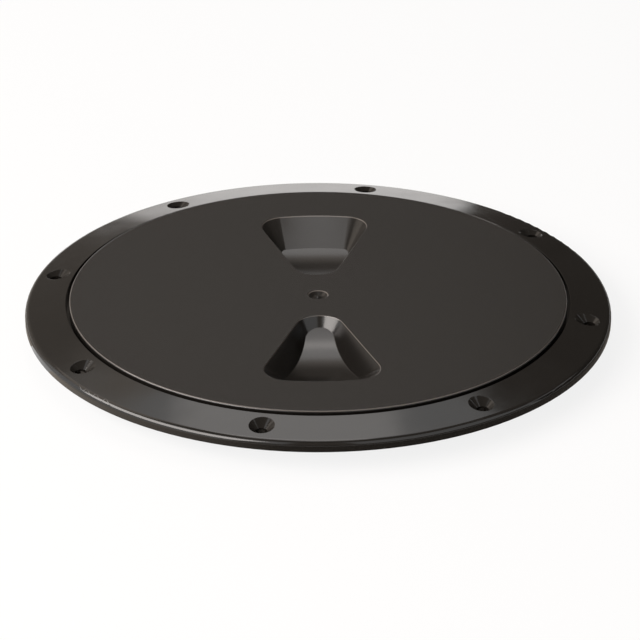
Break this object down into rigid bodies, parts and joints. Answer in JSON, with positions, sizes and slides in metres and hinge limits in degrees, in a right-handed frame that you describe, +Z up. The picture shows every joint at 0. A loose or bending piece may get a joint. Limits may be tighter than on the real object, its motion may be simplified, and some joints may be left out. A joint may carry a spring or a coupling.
{
  "type": "deck inspection plate",
  "caption": "Flush round deck inspection plate: a screwed-down mounting ring and a screw-in cover with two opposite finger wells, sealed by a rubber ring.",
  "frame": {"origin": "centre of the circle of screw holes, on the deck surface that the flange lies on", "axes": "+Z up, away from the deck, along the axis of the thread; the two finger wells lie along Y"},
  "size_m": [0.32, 0.32, 0.0213],
  "materials": {
    "ring_plastic": "smooth moulded black plastic",
    "cover_plastic": "fine satin moulded black plastic",
    "seal_rubber": "smooth black rubber"
  },
  "bodies": {
    "ring": {"mounting_ring": "ring_plastic"},
    "seal": {"o_ring_seal": "seal_rubber"},
    "cover": {"cover": "cover_plastic"}
  },
  "joints": [
    {"name": "cover_rise", "type": "slide", "parent": "ring", "child": "seal", "axis": [0, 0, 1], "range_m": [0, 0.009]},
    {"name": "cover_turn", "type": "hinge", "parent": "seal", "child": "cover", "pos_m": [0, 0, 0], "axis": [0, 0, 1], "range_deg": [0, 810]}
  ],
  "couplings": [
    {"joint": "cover_rise", "follows": "cover_turn", "m_per_rad": 0.00063662}
  ]
}
